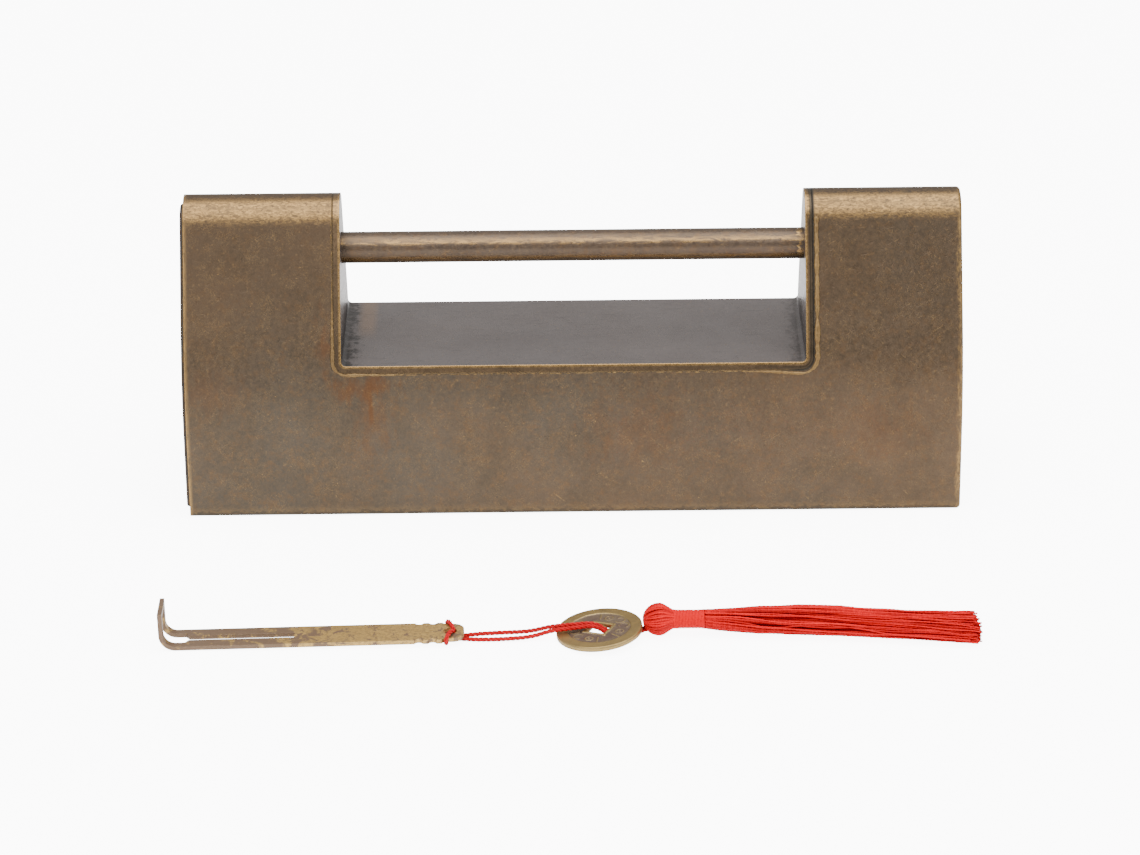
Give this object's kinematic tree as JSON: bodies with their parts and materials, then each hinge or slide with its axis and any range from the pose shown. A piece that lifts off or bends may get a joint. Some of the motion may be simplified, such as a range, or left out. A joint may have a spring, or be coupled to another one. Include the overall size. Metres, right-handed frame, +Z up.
{
  "type": "padlock",
  "caption": "Broad brass spring padlock with a straight sliding shackle bar over a recess, a push key, and a cord with a coin and tassel.",
  "frame": {"origin": "middle of the lock's base, on the floor it stands on", "axes": "+X towards the keyhole end, -Y towards the front and the key, +Z up to the ridge"},
  "size_m": [0.2019, 0.1301, 0.08],
  "materials": {
    "aged_brass": "brown patina with worn bright edges",
    "dark_brass": "dark smooth patina",
    "worn_brass": "dark patina rubbed through along the bar",
    "inner_brass": "dull unpolished brass",
    "spring_brass": "rolled spring brass",
    "braze": "bright uneven braze bead",
    "bright_brass": "light brass with mottled tarnish",
    "coin_brass": "worn brass with dark sunk field",
    "red_cord": "twisted red cord",
    "red_thread": "glossy red thread"
  },
  "bodies": {
    "case": {"case_shell": "aged_brass", "base_plate": "aged_brass", "recess_lining": "dark_brass", "bolt_end_wall": "aged_brass", "keyhole_end_plate": "aged_brass", "catch_plate": "inner_brass", "ward_fin": "inner_brass"},
    "bolt": {"bolt_end_plate": "dark_brass", "shackle_bar": "worn_brass", "stem_bar": "inner_brass", "side_leaf_rivet": "inner_brass", "top_leaf_rivet": "inner_brass"},
    "spring_front": {"leaf_front": "spring_brass"},
    "spring_back": {"leaf_back": "spring_brass"},
    "spring_top": {"leaf_top": "spring_brass"},
    "key": {"key_blade": "bright_brass", "cord_hitch": "red_cord", "cord_strand_near": "red_cord", "cord_strand_far": "red_cord", "coin": "coin_brass", "tassel_head": "red_thread", "tassel_binding": "red_thread", "tassel_skirt": "red_thread"}
  },
  "joints": [
    {"name": "bolt_slide", "type": "slide", "parent": "case", "child": "bolt", "axis": [-1, 0, 0], "range_m": [0, 0.18], "deforming": ["leaf_front", "leaf_back", "leaf_top"]},
    {"name": "leaf_front_flex", "type": "hinge", "parent": "bolt", "child": "spring_front", "pos_m": [0.07, -0.0012, 0.02], "axis": [0, 0, 1], "range_deg": [-6.7, 0], "stiffness_Nm_per_rad": 0.4},
    {"name": "leaf_back_flex", "type": "hinge", "parent": "bolt", "child": "spring_back", "pos_m": [0.07, 0.0012, 0.02], "axis": [0, 0, 1], "range_deg": [0, 6.7], "stiffness_Nm_per_rad": 0.4},
    {"name": "leaf_top_flex", "type": "hinge", "parent": "bolt", "child": "spring_top", "pos_m": [0.07, 0, 0.0225], "axis": [0, 1, 0], "range_deg": [-6.7, 0], "stiffness_Nm_per_rad": 0.2},
    {"name": "key_lift", "type": "slide", "parent": "case", "child": "key", "axis": [0, 0, 1], "range_m": [0, 0.12]}
  ],
  "couplings": [
    {"joint": "leaf_back_flex", "follows": "leaf_front_flex", "ratio": -1},
    {"joint": "leaf_top_flex", "follows": "leaf_front_flex", "ratio": 1}
  ]
}
